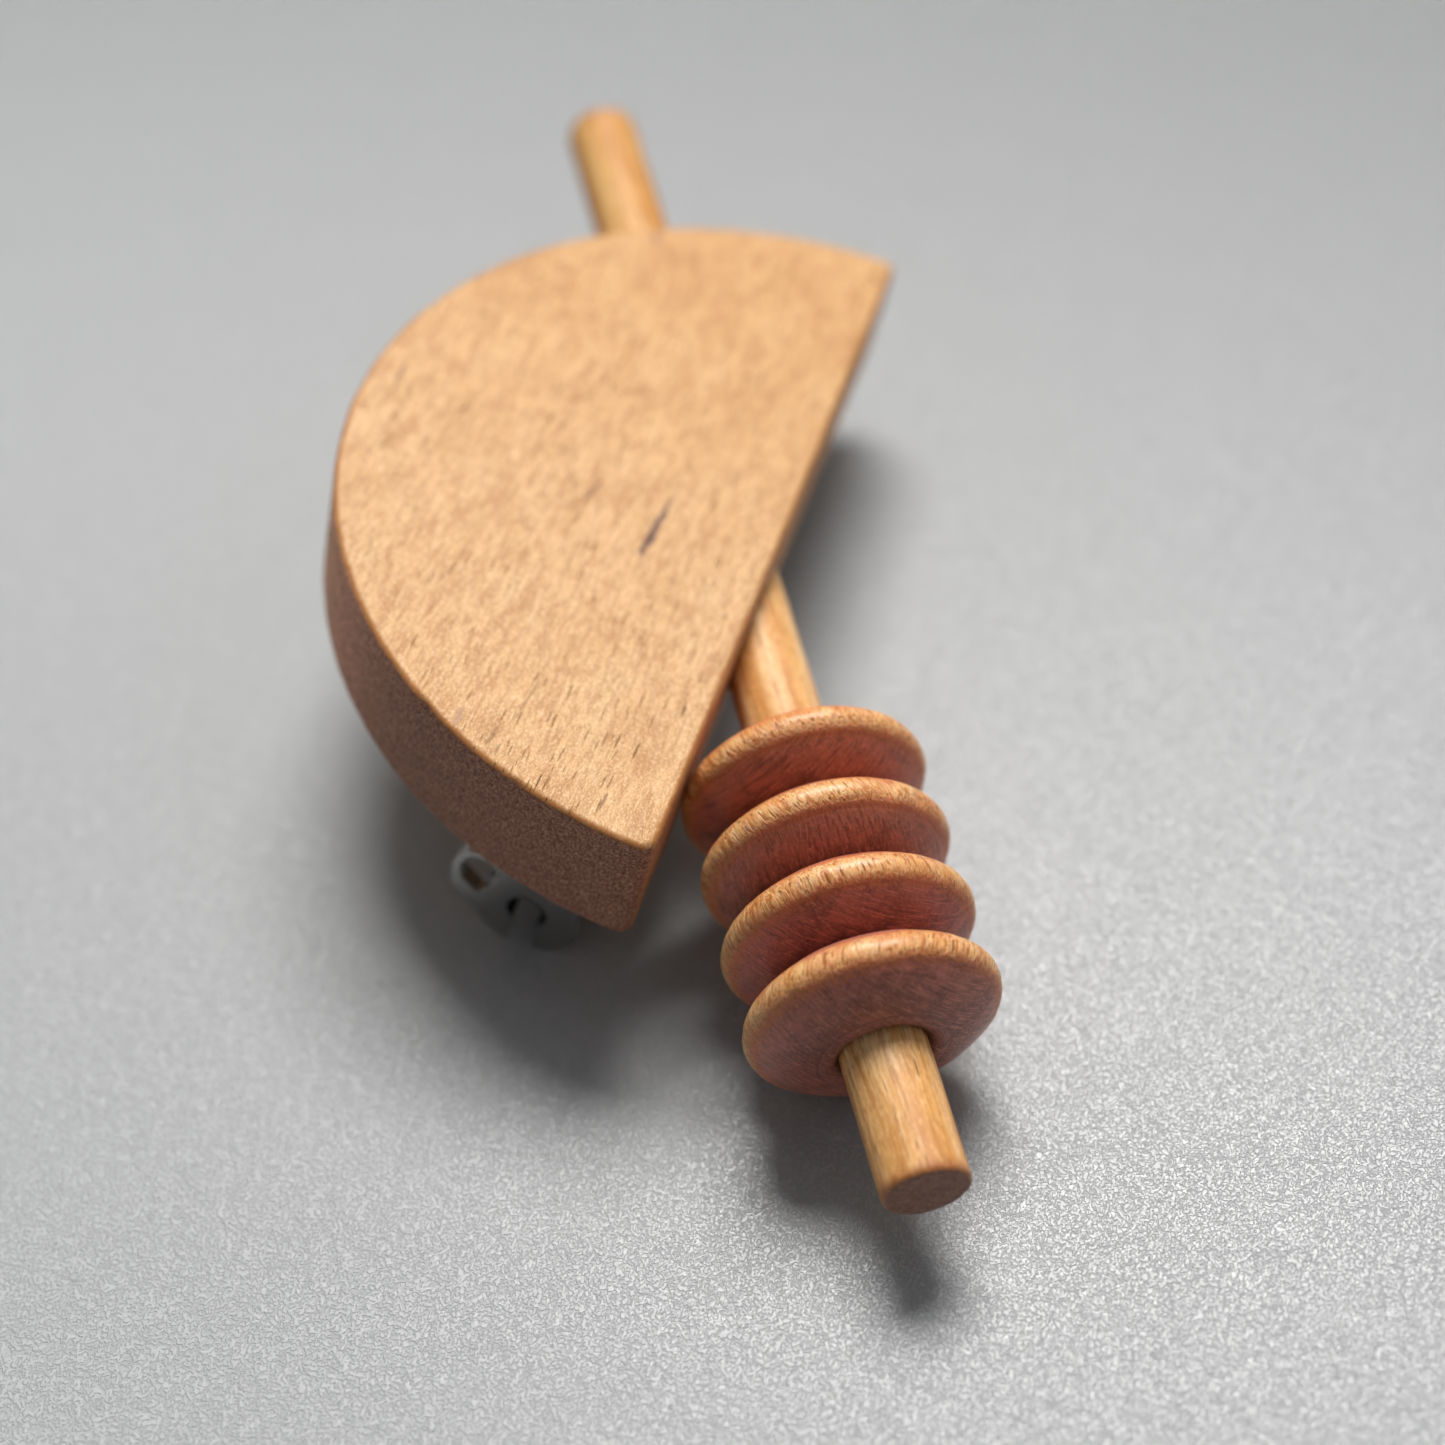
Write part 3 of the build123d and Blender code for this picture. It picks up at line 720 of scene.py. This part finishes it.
BEADS = [
    (20, [(60, 0.2, 0.5, 0.06), (200, 0, 0.6, 0.05)], (0.420, 0.118, 0.060), 0.3),
    (75, [(300, 0.1, 0.45, 0.16), (318, -0.2, 0.35, 0.10), (140, 0.0, 0.5, 0.06)], (0.400, 0.138, 0.080), 1.45),
    (140, [(30, 0.2, 0.4, 0.05), (250, 0, 0.5, 0.05)], (0.385, 0.104, 0.064), 2.6),
    (250, [(100, 0.3, 0.5, 0.05), (10, 0.0, 0.4, 0.05)], (0.360, 0.118, 0.082), 0.9),
]
for i, (turn, dents, tone, rays) in enumerate(BEADS):
    b = build_bead(i, turn, dents, tone, rays)
    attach(b, ["loose_bead_a", "loose_bead_b", "loose_bead_c", "brooch"][i])
    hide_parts(f"bead_{i + 1}")

# ---------------------------------------------------------------------------
# Steel pin-back: the CAD solids; the shader softens the sheet edges
# ---------------------------------------------------------------------------
lock_axis = (tuple(Vector(joints["lock_turn"]["pos_m"]) / MM), tuple(ax), 1.0)
sheet = steel("bright_sheet_steel", (0.40, 0.395, 0.39), 0.16, 0.30)
barrel = steel("bright_barrel_steel", (0.48, 0.47, 0.46), 0.14, 0.26, (2.0, 30.0, 30.0), lock_axis)
wire = steel("drawn_wire_steel", (0.60, 0.60, 0.60), 0.18, 0.30, (1.0, 30.0, 30.0))
for node, mat in (
    ("back_bar", sheet),
    ("catch_housing", barrel),
    ("catch_lock", barrel),
    ("hinge_rivet", sheet),
    ("pin_stem", wire),
):
    ob = frame["nodes"][node]
    ob.data.materials.clear()
    ob.data.materials.append(mat)

# ---------------------------------------------------------------------------
# Floor, lights, camera
# ---------------------------------------------------------------------------
def floor_material():
    g = Graph("pale_grained_floor")
    p = g.mm()
    x, y, z = g.xyz(p)
    fine = g.noise(p, 6.4, 2.0, 0.5, 0.6)
    coarse = g.noise(p, 1.7, 2.0, 0.5, 0.4)
    crinkle = g.step(g.math("ADD", fine, g.math("MULTIPLY", g.math("SUBTRACT", coarse, 0.5), 0.35)), 0.40, 0.58)
    # painted light falloff: the floor is painted darker along +x and a little lighter along +y
    floor_light_falloff = g.math("MULTIPLY", g.step(x, 0.0, 120.0, 1.13, 0.66), g.step(y, -90.0, 60.0, 0.88, 1.05))
    col = g.mix(crinkle, (0.372, 0.381, 0.384), (0.422, 0.432, 0.434))
    col = g.vmath("SCALE", col, scale=floor_light_falloff)
    h = g.math("ADD", crinkle, g.math("MULTIPLY", coarse, 0.8))
    normal = g.bump(h, 0.036, 1.0)
    return g.finish(col, g.step(coarse, 0.3, 0.7, 0.29, 0.39), normal, Specular_IOR_Level=0.45)


fm = bpy.data.meshes.new("floor")
rr, cc = 4.0, 96
fv = [(0, 0, 0)] + [(rr * math.cos(2 * math.pi * k / cc), rr * math.sin(2 * math.pi * k / cc), 0) for k in range(cc)]
fm.from_pydata(fv, [], [(0, k + 1, (k + 1) % cc + 1) for k in range(cc)])
floor = bpy.data.objects.new("floor", fm)
bpy.context.scene.collection.objects.link(floor)
fm.materials.append(floor_material())

# the table drops away when the pin or the lock's loop swings down, as if the brooch were lifted to open it
carriers = {"drop": frame["nodes"]["pin_stem"].parent, "turn": frame["nodes"]["catch_lock"].parent}
if all(body is not None for body in carriers.values()):
    lift = floor.driver_add("location", 2).driver
    lift.type = "SCRIPTED"
    for name, body in carriers.items():
        var = lift.variables.new()
        var.name = name
        var.type = "TRANSFORMS"
        var.targets[0].id = body
        var.targets[0].transform_type = "LOC_Z"
        var.targets[0].transform_space = "WORLD_SPACE"
    lift.expression = "min(2.0 * min(drop, 0.0), -0.22 * max(turn, 0.0))"

centre = (cad_lo + cad_hi) / 2


def area(name, az_deg, el_deg, dist, size, power, color, size_y=None, shape="RECTANGLE"):
    d = Vector((math.cos(math.radians(az_deg)) * math.cos(math.radians(el_deg)), math.sin(math.radians(az_deg)) * math.cos(math.radians(el_deg)), math.sin(math.radians(el_deg))))
    li = bpy.data.lights.new(name, "AREA")
    li.shape = shape if size_y else "SQUARE"
    li.size = size
    if size_y:
        li.size_y = size_y
    li.energy = power
    li.color = color
    ob = bpy.data.objects.new(name, li)
    bpy.context.scene.collection.objects.link(ob)
    ob.location = centre + d * dist
    ob.rotation_mode = "QUATERNION"
    ob.rotation_quaternion = d.to_track_quat("Z", "Y")
    return ob


area("key", 4.5, 60, 0.80, 0.50, 8.3, (1.0, 0.985, 0.965), 0.33, "ELLIPSE")
area("surround", 4.5, 60, 0.84, 1.15, 0.8, (1.0, 0.99, 0.98), 0.95, "ELLIPSE")
area("fill", -75, 40, 1.0, 0.7, 0.65, (0.95, 0.97, 1.0))

world = bpy.data.worlds.new("studio")
bpy.context.scene.world = world
world.use_nodes = True
bg = world.node_tree.nodes.get("Background") or world.node_tree.nodes.new("ShaderNodeBackground")
bg.inputs[0].default_value = (0.92, 0.95, 1.0, 1.0)
bg.inputs[1].default_value = 0.155
wo = world.node_tree.nodes.get("World Output") or world.node_tree.nodes.new("ShaderNodeOutputWorld")
world.node_tree.links.new(bg.outputs[0], wo.inputs[0])

# camera, placed in the half disc's own frame
CAM_LOCAL = Vector((-87.679, -5.170, 83.888))
cam_data = bpy.data.cameras.new("camera")
cam = bpy.data.objects.new("camera", cam_data)
bpy.context.scene.collection.objects.link(cam)
bpy.context.scene.camera = cam
cam_data.sensor_width = 36.0
cam_data.lens = 2431.85 / 1445.0 * 36.0
cam_data.clip_start, cam_data.clip_end = 0.004, 20.0
rv = Vector((2.1352, -1.4682, 0.7700))
view_rot = Matrix.Rotation(rv.length, 3, rv.normalized())
flip = Matrix(((1, 0, 0), (0, -1, 0), (0, 0, -1)))
cam_rot = rot @ (flip @ view_rot).transposed()
cam.rotation_mode = "QUATERNION"
cam.rotation_quaternion = cam_rot.to_quaternion()
cam.location = M_DISC @ (CAM_LOCAL * MM)

# lens blur as at a short distance; it fades out when the camera is moved
home = cam.location.copy()
cam_data.dof.use_dof = True
cam_data.dof.focus_distance = 0.1062
cam_data.dof.aperture_fstop = 17.5
drv = cam_data.dof.driver_add("aperture_fstop").driver
drv.type = "SCRIPTED"
for nm, axis_name in (("x", "LOC_X"), ("y", "LOC_Y"), ("z", "LOC_Z")):
    v = drv.variables.new()
    v.name = nm
    v.type = "TRANSFORMS"
    v.targets[0].id = cam
    v.targets[0].transform_type = axis_name
    v.targets[0].transform_space = "WORLD_SPACE"
drv.expression = f"17.5 + 200000.0 * (abs(x - ({home.x:.6f})) + abs(y - ({home.y:.6f})) + abs(z - ({home.z:.6f})) > 0.001)"

sc = bpy.context.scene
sc.view_settings.view_transform = "Standard"
sc.view_settings.look = "None"
sc.cycles.use_denoising = True
